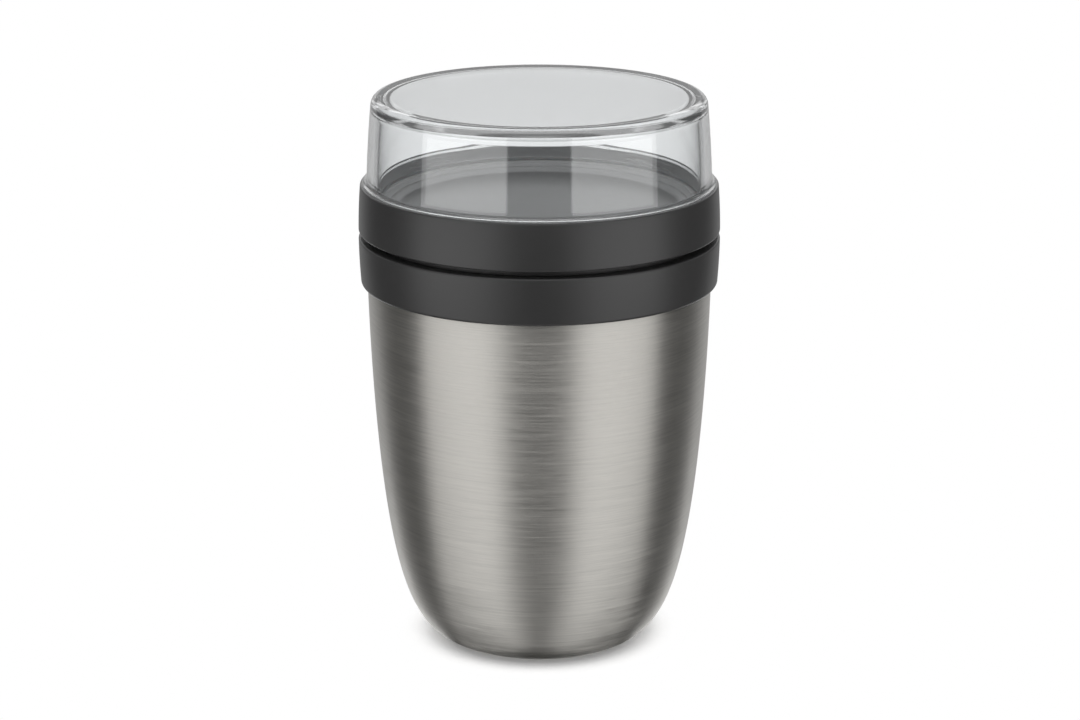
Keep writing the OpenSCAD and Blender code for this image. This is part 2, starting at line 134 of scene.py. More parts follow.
class ShaderBook:
    """Writes one shader tree."""

    def __init__(self, tree: bpy.types.NodeTree) -> None:
        """Empties the tree.

        Args:
            tree: the tree of a material or of the world.
        """
        self.tree = tree
        tree.nodes.clear()

    def add(
        self,
        kind: str,
        settings: Optional[dict[str, object]] = None,
        sockets: Optional[dict[Union[str, int], object]] = None,
        output: Union[str, int] = 0,
    ) -> Link:
        """Adds one node.

        Args:
            kind: the node's type without its ShaderNode prefix.
            settings: what is set on the node itself.
            sockets: the values or links of the node's inputs.
            output: the output that is returned.

        Returns:
            The chosen output.
        """
        node = self.tree.nodes.new("ShaderNode" + kind)
        for name, value in (settings or {}).items():
            setattr(node, name, value)
        for name, value in (sockets or {}).items():
            if isinstance(value, Link):
                self.tree.links.new(value.socket, node.inputs[name])
            else:
                node.inputs[name].default_value = value
        return Link(self, node.outputs[output])

    def maths(self, operation: str, first: Value, second: Value = 0.0) -> Link:
        """Adds a Math node."""
        return self.add("Math", {"operation": operation}, {0: first, 1: second})

    def ramp(self, value: Value, stops: Stops, smooth: bool = False) -> Link:
        """Reads a value off a curve given by its stops.

        Args:
            value: where on the ramp to read, from 0 to 1.
            stops: each stop's place and level.
            smooth: whether the curve is eased between stops.

        Returns:
            The level.
        """
        link = self.add("ValToRGB", None, {"Fac": value})
        ramp = link.socket.node.color_ramp
        ramp.interpolation = "EASE" if smooth else "LINEAR"
        while len(ramp.elements) < len(stops):
            ramp.elements.new(1.0)
        for element, (place, level) in zip(ramp.elements, stops):
            element.position = place
            element.color = grey(level)
        return link

    def mix(self, share: Value, first: object, second: object) -> Link:
        """Mixes two colours by a share."""
        return self.add("Mix", {"data_type": "RGBA"}, {0: share, 6: first, 7: second}, 2)

    def place(self, scale: Spot = (1.0, 1.0, 1.0)) -> Link:
        """Gives the piece's own coordinates, in metres, times a scale along each axis."""
        spot = self.add("TexCoord", output="Object")
        return self.add("VectorMath", {"operation": "MULTIPLY"}, {0: spot, 1: scale})

    def axes(self, where: Link) -> list[Link]:
        """Splits a place or a direction into x, y and z."""
        node = self.tree.nodes.new("ShaderNodeSeparateXYZ")
        self.tree.links.new(where.socket, node.inputs[0])
        return [Link(self, socket) for socket in node.outputs]

    def length(self, where: Link) -> Link:
        """Gives the distance from the origin."""
        return self.add("VectorMath", {"operation": "LENGTH"}, {0: where}, "Value")

    def noise(self, where: Link, scale: float, detail: float = 2.0, rough: float = 0.5) -> Link:
        """Gives fractal noise from 0 to 1."""
        sockets = {"Vector": where, "Scale": scale, "Detail": detail, "Roughness": rough}
        return self.add("TexNoise", {"noise_dimensions": "3D"}, sockets)

    def cells(self, where: Link, scale: float, feature: str = "F1") -> Link:
        """Gives the distance to the middle of the nearest of many small cells."""
        return self.add("TexVoronoi", {"feature": feature}, {"Vector": where, "Scale": scale})

    def bump(self, height: Link, strength: float, depth: float) -> Link:
        """Turns a height into a bent normal; depth is in metres."""
        return self.add("Bump", None, {"Strength": strength, "Distance": depth, "Height": height})

    def principled(self, sockets: dict[str, object]) -> Link:
        """Adds the general surface shader."""
        return self.add("BsdfPrincipled", None, sockets)

    def blend(self, share: Value, first: Link, second: Link) -> Link:
        """Blends two shaders by a share."""
        return self.add("MixShader", None, {0: share, 1: first, 2: second})

    def white(self, kind: str, strength: Value) -> Link:
        """Adds a shader that gives white light."""
        return self.add(kind, None, {"Color": grey(1.0), "Strength": strength})

    def seen(self) -> Link:
        """Tells the camera's rays, also those through clear plastic, from all others."""
        camera = self.add("LightPath", output="Is Camera Ray")
        through = self.add("LightPath", output="Is Transmission Ray")
        return self.maths("MAXIMUM", camera, through)

    def mirrored(self) -> Link:
        """Tells rays that were reflected on their way from all others."""
        gloss = self.add("LightPath", output="Is Glossy Ray")
        depth = self.add("LightPath", output="Glossy Depth")
        return gloss * self.maths("MINIMUM", depth, 1.0)

    def finish(self, surface: Link, kind: str = "OutputMaterial") -> None:
        """Joins the surface to the tree's output node."""
        out = self.tree.nodes.new("ShaderNode" + kind)
        self.tree.links.new(surface.socket, out.inputs["Surface"])


def grey(level: float) -> Paint:
    """Gives an opaque grey."""
    return (level, level, level, 1.0)


def paint(colour: Colour) -> Paint:
    """Gives an opaque colour."""
    return (*colour, 1.0)


def shade(colour: Colour, gain: float) -> Paint:
    """Gives an opaque colour, made darker or lighter by a gain."""
    return paint(tuple(gain * c for c in colour))


@dataclass(frozen=True)
class Finish:
    """A named finish; each kind writes its own surface."""

    name: str

    def surface(self, book: ShaderBook) -> Link:
        """Writes the finish's shader.

        Args:
            book: the material's shader tree.

        Returns:
            The shader.
        """
        raise NotImplementedError

    def material(self) -> bpy.types.Material:
        """Makes the material, or gives the one already made."""
        title = f"{self.name}_finish"
        made = bpy.data.materials.get(title)
        if made:
            return made
        made = bpy.data.materials.new(title)
        made.use_nodes = True
        book = ShaderBook(made.node_tree)
        book.finish(self.surface(book))
        return made


@dataclass(frozen=True)
class BrushedSteel(Finish):
    """Steel brushed round the pot's axis, with level streaks of many lengths."""

    colour: Colour = (0.605, 0.59, 0.556)
    roughness: float = 0.44
    anisotropy: float = 0.83
    streaks: float = 1.0
    short_scale: Spot = (90.0, 90.0, 2300.0)
    long_scale: Spot = (24.0, 24.0, 1300.0)
    tone_gain: float = 3.0
    rough_gain: float = 0.45
    bump_gain: float = 0.15
    streak_depth: float = 0.00002

    def surface(self, book: ShaderBook) -> Link:
        """Writes the steel: streaks that vary up the pot far faster than round it."""
        short = book.noise(book.place(self.short_scale), 1.0, 3.0, 0.7)
        long = book.noise(book.place(self.long_scale), 1.0, 2.0, 0.6)
        cloud = book.noise(book.place(), 45.0, 2.0, 0.5)
        streak = (short - 0.5) * 0.6 + (long - 0.5) * 0.5
        tone = 0.5 + streak * (self.tone_gain * self.streaks)
        rough = self.roughness + streak * (self.rough_gain * self.streaks) + (cloud - 0.5) * 0.03
        return book.principled({
            "Base Color": book.mix(tone, shade(self.colour, 0.86), shade(self.colour, 1.12)),
            "Metallic": 1.0,
            "Roughness": rough,
            "Anisotropic": self.anisotropy,
            "Anisotropic Rotation": 0.25,
            "Normal": book.bump(streak, self.bump_gain * self.streaks, self.streak_depth),
        })


@dataclass(frozen=True)
class MouldedPlastic(Finish):
    """Solid-coloured plastic from a finely etched mould."""

    colour: Colour = (0.0265, 0.0262, 0.0264)
    roughness: float = 0.38
    grain: float = 0.2
    # Painted highlight on the dish: how much lighter it is, and its share by the distance from the
    # axis.
    painted_dish_light: float = 0.0
    dish_z: float = 0.1325
    painted_light_shares: Stops = (
        (0.412, 0.20), (0.419, 0.80), (0.436, 0.85), (0.442, 1.0), (0.520, 1.0), (0.526, 0.0),
    )

    def surface(self, book: ShaderBook) -> Link:
        """Writes the plastic: a fine etched grain and faint handling marks.

        Above dish_z, where a painted light is set, the dish gets a painted highlight: its colour is
        made lighter, a little on its floor and most on its slope and ledge, by a share that is
        read off the distance from the axis, in decimetres.
        """
        etch = book.noise(book.place(), 5200.0, 1.0, 0.5)
        wear = book.noise(book.place(), 60.0, 3.0, 0.55)
        tone = book.mix(wear, shade(self.colour, 0.92), shade(self.colour, 1.10))
        # Painted highlight: the dish's slope and ledge, and a little of its floor, are coloured
        # lighter, as if light fell on them.
        if self.painted_dish_light:
            out = book.length(book.place((1 / DECIMETRE, 1 / DECIMETRE, 0.0)))
            dish_light_share = book.ramp(out, self.painted_light_shares)
            _, _, up = book.axes(book.place())
            raised = book.maths("GREATER_THAN", up, self.dish_z)
            dish = paint(tuple(c + self.painted_dish_light for c in self.colour))
            tone = book.mix(dish_light_share * raised, tone, dish)
        return book.principled({
            "Base Color": tone,
            "Roughness": self.roughness + (wear - 0.5) * 0.08 + (etch - 0.5) * 0.05,
            "IOR": 1.56,
            "Normal": book.bump(etch, self.grain, 0.00003),
        })


@dataclass(frozen=True)
class ClearPlastic(Finish):
    """Clear polished plastic that lets the lamp's light through."""

    tint: Colour = (0.975, 0.988, 0.994)
    roughness: float = 0.012
    clearness: float = 0.97
    thread_z: float = 0.1398
    thread_blend: float = 0.0004
    thread_tone: float = 0.62
    thread_frost: float = 0.10
    shadow_tone: float = 0.9
    height_gain: float = 5.0

    def surface(self, book: ShaderBook) -> Link:
        """Writes the plastic: clear and faintly smeared, without a hard shadow.

        Below thread_z, where it is screwed in, it is greyer and slightly frosted.
        """
        smear = book.noise(book.place((1.0, 1.0, 0.4)), 38.0, 3.0, 0.6)
        _, _, up = book.axes(book.place((1.0, 1.0, self.height_gain)))
        start = self.thread_z * self.height_gain
        end = (self.thread_z + self.thread_blend) * self.height_gain
        threaded = book.ramp(up, ((start, 1.0), (end, 0.0)))
        tone = book.mix(smear, paint(self.tint), shade(self.tint, 0.99))
        tone = book.mix(threaded, tone, shade(self.tint, self.thread_tone))
        polished = book.principled({
            "Base Color": tone,
            "Roughness": self.roughness + (smear - 0.5) * 0.012,
            "IOR": 1.57,
            "Transmission Weight": self.clearness,
        })
        frosted = book.add("BsdfDiffuse", None, {"Color": paint(self.tint)})
        lit = book.blend(threaded * self.thread_frost, polished, frosted)
        shadow = book.add("BsdfTransparent", None, {"Color": shade(self.tint, self.shadow_tone)})
        ray = book.add("LightPath", output="Is Shadow Ray")
        return book.blend(ray, lit, shadow)


@dataclass(frozen=True)
class Silicone(Finish):
    """Soft translucent sealing rubber."""

    colour: Colour = (0.66, 0.67, 0.67)

    def surface(self, book: ShaderBook) -> Link:
        """Writes the rubber: slightly cloudy, with a soft moulded skin."""
        cloud = book.noise(book.place(), 140.0, 2.0, 0.5)
        skin = book.noise(book.place(), 3000.0, 1.0, 0.5)
        return book.principled({
            "Base Color": book.mix(cloud, shade(self.colour, 0.9), paint(self.colour)),
            "Roughness": 0.45 + (cloud - 0.5) * 0.15,
            "IOR": 1.41,
            "Subsurface Weight": 0.25,
            "Subsurface Scale": 0.001,
            "Normal": book.bump(skin, 0.15, 0.00003),
        })


@dataclass(frozen=True)
class SoftPad(Finish):
    """Dark soft pad with a pebbled, slightly dusty face."""

    colour: Colour = (0.045, 0.046, 0.048)
    pebble_scale: float = 1400.0

    def surface(self, book: ShaderBook) -> Link:
        """Writes the pad: pebbles and a little dust."""
        spot = book.place()
        pebble = book.cells(spot, self.pebble_scale, "SMOOTH_F1")
        dust = book.noise(spot, 220.0, 4.0, 0.6)
        dusty = book.ramp(dust, ((0.45, 0.0), (0.8, 1.0)))
        return book.principled({
            "Base Color": book.mix(dusty, paint(self.colour), shade(self.colour, 1.7)),
            "Roughness": 0.72 + (dust - 0.5) * 0.2,
            "Normal": book.bump(pebble, 0.35, 0.00006),
        })


@dataclass(frozen=True)
class CreasedFoil(Finish):
    """Bright foil with fine creases from wrapping."""

    colour: Colour = (0.86, 0.86, 0.87)
    facet_scale: float = 260.0

    def surface(self, book: ShaderBook) -> Link:
        """Writes the foil: creases between small flat facets."""
        spot = book.place()
        facet = book.cells(spot, self.facet_scale)
        wave = book.noise(spot, 90.0, 3.0, 0.5)
        return book.principled({
            "Base Color": book.mix(wave, shade(self.colour, 0.9), paint(self.colour)),
            "Metallic": 1.0,
            "Roughness": 0.18 + wave * 0.12,
            "Normal": book.bump(facet * 0.6 + wave * 0.4, 0.4, 0.0002),
        })


@dataclass(frozen=True)
class CellFoam(Finish):
    """Closed-cell foam."""

    colour: Colour = (0.80, 0.79, 0.74)
    cell_scale: float = 1100.0

    def surface(self, book: ShaderBook) -> Link:
        """Writes the foam: small round cells, each hollow darkened by painted shade."""
        cell = book.cells(book.place(), self.cell_scale)
        # Painted shade: each cell's hollow is coloured darker towards its middle.
        rim = book.ramp(cell, ((0.0, 0.0), (0.6, 1.0)))
        return book.principled({
            "Base Color": book.mix(rim, shade(self.colour, 0.72), paint(self.colour)),
            "Roughness": 0.85 - cell * 0.1,
            "Normal": book.bump(cell, 0.5, 0.0002),
        })


@dataclass(frozen=True)
class SmallMetal(Finish):
    """Small metal pieces that aren't brushed: pressed, sintered or melted."""

    colour: Colour = (0.5, 0.5, 0.5)
    roughness: float = 0.4
    grain_scale: float = 1500.0
    grain: float = 0.3

    def surface(self, book: ShaderBook) -> Link:
        """Writes the metal: grain and a little tarnish."""
        spot = book.place()
        grain = book.noise(spot, self.grain_scale, 3.0, 0.6)
        tarnish = book.noise(spot, 120.0, 3.0, 0.6)
        return book.principled({
            "Base Color": book.mix(tarnish, shade(self.colour, 0.78), paint(self.colour)),
            "Metallic": 1.0,
            "Roughness": self.roughness + (grain - 0.5) * 0.2,
            "Normal": book.bump(grain, self.grain, 0.0001),
        })


STEEL_SHELL = BrushedSteel("steel_brushed_shell")
STEEL_LINER = BrushedSteel(
    "steel_satin_liner", (0.66, 0.66, 0.65), roughness=0.3, anisotropy=0.5, streaks=0.5
)
CHARCOAL = MouldedPlastic("etched_charcoal")
# The dish's plastic, with a painted highlight on its slope and ledge.
CHARCOAL_DISH_PAINTED_LIGHT = MouldedPlastic("etched_charcoal_dish_painted_light", painted_dish_light=0.24)
PLUG_PLASTIC = MouldedPlastic("etched_plug", (0.05, 0.051, 0.053), roughness=0.45, grain=0.3)
CLEAR = ClearPlastic("clear_polished")
SEAL = Silicone("silicone_skin")
GREY_SEAL = Silicone("grey_silicone_skin", (0.24, 0.243, 0.246))
PAD = SoftPad("base_pad_rubber")
FOIL = CreasedFoil("bright_foil")
FOAM = CellFoam("foam_cells")
PRESSED = SmallMetal(
    "pressed_base_steel", (0.56, 0.56, 0.55), roughness=0.35, grain_scale=900.0, grain=0.15
)
SPRING = SmallMetal(
    "clip_steel", (0.52, 0.53, 0.55), roughness=0.28, grain_scale=1200.0, grain=0.1
)
SINTERED = SmallMetal(
    "sintered_getter", (0.22, 0.22, 0.23), roughness=0.65, grain_scale=2600.0, grain=0.7
)
BRAZE = SmallMetal(
    "braze_bead", (0.72, 0.58, 0.34), roughness=0.32, grain_scale=700.0, grain=0.25
)


@dataclass(frozen=True)
class Thread:
    """Lugs of a many-start screw thread, as a relief on the wall that carries them."""

    wall_r: float
    depth: float
    middle_z: float
    height: float
    span: float
    lead: float
    starts: int = 4
    turn: float = 45.0
    flank_share: float = 0.25
    run_out: float = 3.0
    wall_match: float = 0.02

    def rows(self, step: float = 0.14) -> list[Point]:
        """Gives points up the wall, close enough to carry the lugs."""
        half = (self.height + self.lead * self.span / 360) / 2
        low_z, high_z = self.middle_z - half, self.middle_z + half
        count = round((high_z - low_z) / step)
        return [(self.wall_r, low_z + (high_z - low_z) * i / count) for i in range(count + 1)]

    def relief(self, angle: np.ndarray, radius: np.ndarray, height: np.ndarray) -> np.ndarray:
        """Gives how far the wall stands out.

        Args:
            angle: angles round the axis, in degrees.
            radius: the wall's radii.
            height: the wall's heights.

        Returns:
            The radial offsets.
        """
        pitch = 360 / self.starts
        off = (angle - self.turn + pitch / 2) % pitch - pitch / 2
        along = np.clip((self.span / 2 - np.abs(off)) / self.run_out, 0, 1)
        middle = self.middle_z + self.lead * off / 360
        reach = 1 - np.abs(height - middle) / (self.height / 2)
        across = np.clip(reach / (2 * self.flank_share), 0, 1)
        on_wall = np.abs(radius - self.wall_r) < self.wall_match
        return self.depth * np.sqrt(along) * across * on_wall


# Both screws' lugs, and the radii of the points across flat discs, from the rim to the middle.
POT_LUGS = {"height": 1.4, "span": 36.0, "lead": 18.0}
LID_LUGS = {"height": 0.9, "span": 24.0, "lead": 12.0}
DISC_RADII = (30.0, 15.0, 0.0)


def soften(points: Sequence[Point], radius: float, steps: int = 3) -> list[Point]:
    """Rounds the corners of a closed outline.

    Args:
        points: the outline.
        radius: the rounding, made smaller where an edge is short.
        steps: segments in each rounding.

    Returns:
        The outline with its corners rounded; points on the axis and gentle bends stay.
    """
    made: list[Point] = []
    count = len(points)
    for i, (x, z) in enumerate(points):
        before, after = points[i - 1], points[(i + 1) % count]
        a = (x - before[0], z - before[1])
        b = (after[0] - x, after[1] - z)
        la, lb = math.hypot(*a), math.hypot(*b)
        if la < NO_LENGTH:
            continue
        turn = math.atan2(a[0] * b[1] - a[1] * b[0], a[0] * b[0] + a[1] * b[1])
        if abs(turn) < math.radians(SOFT_BEND) or min(x, lb) < NO_LENGTH:
            made.append((x, z))
            continue
        cut = min(radius * math.tan(abs(turn) / 2), EDGE_SHARE * min(la, lb))
        start = (x - a[0] / la * cut, z - a[1] / la * cut)
        end = (x + b[0] / lb * cut, z + b[1] / lb * cut)
        for k in range(steps + 1):
            t = k / steps
            made.append((
                (1 - t) ** 2 * start[0] + 2 * t * (1 - t) * x + t * t * end[0],
                (1 - t) ** 2 * start[1] + 2 * t * (1 - t) * z + t * t * end[1],
            ))
    return made


def bend(
    x: float, z: float, rx: float, rz: float, a0: float, a1: float, steps: int = 8
) -> list[Point]:
    """Gives points round a circle or an ellipse from one angle to another, in degrees."""
    turns = [math.radians(a0 + (a1 - a0) * i / steps) for i in range(steps + 1)]
    return [(x + rx * math.cos(a), z + rz * math.sin(a)) for a in turns]


def washer(inner_r: float, outer_r: float, low_z: float, high_z: float) -> list[Point]:
    """Gives the outline of a flat ring."""
    return [(inner_r, low_z), (outer_r, low_z), (outer_r, high_z), (inner_r, high_z)]


def placed(name: str, data: bpy.types.ID) -> Piece:
    """Makes an object of its data and links it to the scene."""
    thing = bpy.data.objects.new(name, data)
    bpy.context.scene.collection.objects.link(thing)
    return thing


def turned(
    name: str,
    outline: Sequence[Point],
    segments: int = ROUND_FLATS,
    reliefs: Sequence[Relief] = (),
) -> Piece:
    """Turns a closed outline into a smooth mesh with exact normals.

    Args:
        name: the new piece's name.
        outline: radius and height of each point, in millimetres.
        segments: flats round the axis.
        reliefs: threads and the like, as radial offsets.

    Returns:
        The new piece, linked to the scene.
    """
    rz = np.array(outline, dtype=float)
    area = np.sum(rz[:, 0] * np.roll(rz[:, 1], -1) - np.roll(rz[:, 0], -1) * rz[:, 1])
    if area < 0:
        rz = rz[::-1]
    rings = len(rz)
    angle = np.arange(segments) * 360.0 / segments
    radius = np.repeat(rz[:, :1], segments, axis=1)
    height = np.repeat(rz[:, 1:], segments, axis=1)
    around = np.repeat(angle[None, :], rings, axis=0)
    spread = radius + sum((f(around, radius, height) for f in reliefs), np.zeros_like(radius))
    rad = np.radians(around)
    place = np.stack([spread * np.cos(rad), spread * np.sin(rad), height], axis=2) * MM

    on_axis = rz[:, 0] < NO_LENGTH
    numbers = np.zeros((rings, segments), dtype=int)
    vertices: list[np.ndarray] = []
    for i in range(rings):
        if on_axis[i]:
            numbers[i] = len(vertices)
            vertices.append(place[i, 0])
        else:
            numbers[i] = np.arange(len(vertices), len(vertices) + segments)
            vertices.extend(place[i])

    above = np.roll(place, -1, axis=0)
    face = np.cross(np.roll(above, -1, axis=1) - place, above - np.roll(place, -1, axis=1))
    strip = np.roll(rz, -1, axis=0) - rz
    heading = np.degrees(np.arctan2(strip[:, 1], strip[:, 0]))
    turn = np.abs((heading - np.roll(heading, 1) + 180) % 360 - 180)
    sharp = turn > SHARP_BEND
    sides = face + np.roll(face, 1, axis=1)
    joined = sides + np.roll(sides, 1, axis=0)

    faces: list[tuple[int, ...]] = []
    normals: list[np.ndarray] = []
    for i in range(rings):
        k = (i + 1) % rings
        if on_axis[i] and on_axis[k]:
            continue
        here = sides[i] if sharp[i] else joined[i]
        there = sides[i] if sharp[k] else joined[k]
        if on_axis[i]:
            here = np.repeat(joined[i].sum(axis=0)[None, :], segments, axis=0)
        if on_axis[k]:
            there = np.repeat(joined[k].sum(axis=0)[None, :], segments, axis=0)
        for j in range(segments):
            n = (j + 1) % segments
            corners = [(i, j), (i, n), (k, n), (k, j)]
            if on_axis[i] or on_axis[k]:
                corners.remove((i if on_axis[i] else k, n))
            faces.append(tuple(int(numbers[corner]) for corner in corners))
            normals.extend((here if ring == i else there)[flat] for ring, flat in corners)

    mesh = bpy.data.meshes.new(name)
    mesh.from_pydata([tuple(v) for v in vertices], [], faces)
    mesh.polygons.foreach_set("use_smooth", [True] * len(mesh.polygons))
    split = np.array(normals)
    split /= np.maximum(np.linalg.norm(split, axis=1, keepdims=True), 1e-20)
    mesh.normals_split_custom_set([tuple(n) for n in split])
    mesh.update()
    return placed(name, mesh)


def fit(piece: Piece, finish: Finish, slot: Slot, body: Body, *nodes: str) -> None:
    """Dresses a new piece, hangs it on its body and hides the solids that it stands for.

    Args:
        piece: the new piece.
        finish: its finish.
        slot: the record's slot that it stands for; not used.
        body: the body that it moves with.
        nodes: the solids that it replaces.
    """
    piece.data.materials.clear()
    piece.data.materials.append(finish.material())
    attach(piece, body.value)
    if nodes:
        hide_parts(*nodes)
    faces = len(piece.data.polygons)
    LOG.info("%s: %d faces, %s, on %s", piece.name, faces, finish.name, body.value)


def dress_node(node: str, finish: Finish) -> None:
    """Gives a solid that stays its finish."""
    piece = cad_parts[node]
    if not piece.material_slots:
        piece.data.materials.append(None)
    for slot in piece.material_slots:
        slot.link = "OBJECT"
        slot.material = finish.material()
    LOG.info("%s keeps its solid, %s", node, finish.name)


@dataclass(frozen=True)
class Egg:
    """Egg curve, widest at the parting plane and cut flat at its bottom."""

    widest: float
    low_z: float
    top_z: float = 124.8
    power: float = 1.7
    root: float = 6.6
    tip_share: float = 1.6 / 124.8

    @property
    def whole(self) -> float:
        """Height of the whole egg's lower half, with the tip that its flat bottom cuts off."""
        return (self.top_z - self.low_z) * (1 + self.tip_share)

    def depth(self, z: float) -> float:
        """Depth below the widest plane, as a share of the whole."""
        return max(0.0, self.top_z - z) / self.whole

    def radius(self, z: float) -> float:
        """Radius at a height."""
        return self.widest * (1 - self.depth(z) ** self.power) ** (1 / self.root)

    def slope(self, z: float) -> float:
        """Change of radius with height."""
        u = self.depth(z)
        outer = self.widest / self.root * (1 - u**self.power) ** (1 / self.root - 1)
        return outer * self.power * u ** (self.power - 1) / self.whole

    def wall(self, z0: float, z1: float, inset: float = 0.0, steps: int = 64) -> list[Point]:
        """Gives points up the curve, set in by a wall, closest where the egg turns in."""
        made = []
        for i in range(steps + 1):
            z = z0 + (z1 - z0) * (i / steps) ** 2
            m = self.slope(z)
            k = math.hypot(1, m)
            made.append((self.radius(z) - inset / k, z + inset * m / k))
        return made


@dataclass(frozen=True)
class Levels:
    """Radii and heights that several pieces share, in millimetres."""

    body_r: float = 51.25
    parting_z: float = 124.8
    shell_t: float = 0.8
    neck_r: float = 47.0
    shoulder_z: float = 111.5
    shoulder_h: float = 3.0
    mouth_r: float = 43.0
    lip_under_z: float = 128.15
    lip_z: float = 128.75
    flange_z: float = 129.35
    neck_top_z: float = 130.95
    plate_z: float = 131.75
    floor_z: float = 133.35
    seat_z: float = 135.55
    lid_bottom_z: float = 136.45
    thread_r: float = 49.6
    skirt_r: float = 50.9
    crest_z: float = 139.65
    collar_r: float = 53.5
    collar_crown: float = 180.0
    lid_crown: float = 418.0
    lid_t: float = 3.4

    def collar_face(self, z: float) -> float:
        """Radius of the collars' crowned faces at a height."""
        rise = z - self.parting_z
        return self.collar_r - self.collar_crown + math.sqrt(self.collar_crown**2 - rise**2)

    def lid_wall(self, z: float) -> float:
        """Radius of the lid's wall at a height."""
        rise = z - self.parting_z
        return self.body_r - self.lid_crown + math.sqrt(self.lid_crown**2 - rise**2)

    def climb(self, face: Face, z0: float, z1: float, steps: int = 14) -> list[Point]:
        """Gives points up a face between two heights."""
        heights = [z0 + (z1 - z0) * i / steps for i in range(steps + 1)]
        return [(face(z), z) for z in heights]

    def crowned(self, z0: float, z1: float, low: float, high: float) -> list[Point]:
        """Gives points up a collar's crowned face, with its lower and upper edge rounded."""
        low_z, high_z = z0 + low, z1 - high
        return (
            bend(self.collar_face(low_z) - low, low_z, low, low, -90, 0)
            + self.climb(self.collar_face, low_z, high_z)[1:-1]
            + bend(self.collar_face(high_z) - high, high_z, high, high, 0, 90)
        )


LEVELS = Levels()


@dataclass
class SteelPot:
    """The double-walled steel pot with its base and what the vacuum holds."""

    foot_in_r: float = 25.83
    foot_inset: float = 0.42
    foot_roll: Point = (0.52, 0.30)
    foot_roll_end: float = -38
    wall_low_z: float = 0.34
    flange_h: float = 3.2
    liner_low_z: float = 8.6
    liner_floor_z: float = 9.2
    liner_r: float = 43.6
    pad_r: float = 25.53
    pad_t: float = 1.6
    grip_radii: Point = (16.0, 21.0)
    grip_half: float = 0.6
    grip_h: float = 0.35
    levels: Levels = LEVELS

    def build_shell(self) -> Piece:
        """Turns the outer shell: egg, shoulder, neck and standing ring."""
        s = self.levels
        egg = Egg(s.body_r, 0.0)
        neck_z = s.shoulder_z + s.shoulder_h
        drop = s.shell_t / 2
        shoulder_r = egg.radius(s.shoulder_z)
        roll_x = egg.radius(0.0) - self.foot_inset
        roll_r, roll_z = self.foot_roll
        outline = (
            [(self.foot_in_r, 0.0)]
            + bend(roll_x, roll_z, roll_r, roll_z, -90, self.foot_roll_end, 5)
            + egg.wall(self.wall_low_z, s.shoulder_z)
            + [(s.neck_r, neck_z), (s.neck_r, s.lip_under_z)]
            + [(s.neck_r - s.shell_t, s.lip_under_z), (s.neck_r - s.shell_t, neck_z - drop)]
            + [(shoulder_r - s.shell_t, s.shoulder_z - drop)]
            + egg.wall(0.0, s.shoulder_z - drop - s.shell_t, s.shell_t)[::-1]
            + [(self.foot_in_r + s.shell_t, s.shell_t), (self.foot_in_r + s.shell_t, self.flange_h)]
            + [(self.foot_in_r, self.flange_h)]
        )
        return turned("shell", soften(outline, 0.3), FINE_FLATS)

    def build_liner(self) -> Piece:
        """Turns the liner that holds the food, with its turned-out lip."""
        s = self.levels
        outer = Egg(self.liner_r, self.liner_low_z)
        inner = Egg(s.mouth_r, self.liner_floor_z)
        outline = (
            [(0.0, self.liner_low_z)]
            + outer.wall(self.liner_low_z, s.parting_z)
            + [(self.liner_r, s.lip_under_z), (s.neck_r, s.lip_under_z)]
            + [(s.neck_r, s.lip_z), (s.mouth_r, s.lip_z)]
            + inner.wall(self.liner_floor_z, s.parting_z)[::-1]
            + [(0.0, self.liner_floor_z)]
        )
        return turned("liner", soften(outline, 0.25))

    def build_pad(self) -> Piece:
        """Turns the pad under the base, with two shallow grip rings."""
        half, flat, high = self.grip_half, self.grip_half / 2, self.grip_h
        outline = [(0.0, 0.0)]
        for r in self.grip_radii:
            outline += [(r - half, 0.0), (r - flat, high), (r + flat, high), (r + half, 0.0)]
        outline += [(self.pad_r, 0.0), (self.pad_r, self.pad_t), (0.0, self.pad_t)]
        return turned("pad", soften(outline, 0.3))

    def dress(self) -> None:
        """Builds the pieces that show and gives the rest their finishes."""
        fit(self.build_shell(), STEEL_SHELL, Slot.SHELL, Body.POT, "outer_shell")
        fit(self.build_liner(), STEEL_LINER, Slot.LINER, Body.POT, "inner_liner")
        fit(self.build_pad(), PAD, Slot.PAD, Body.POT, "base_pad")
        dress_node("radiation_foil", FOIL)
        dress_node("base_plate", PRESSED)
        dress_node("getter_pellet", SINTERED)
        dress_node("getter_clip", SPRING)
        dress_node("vacuum_bead", BRAZE)


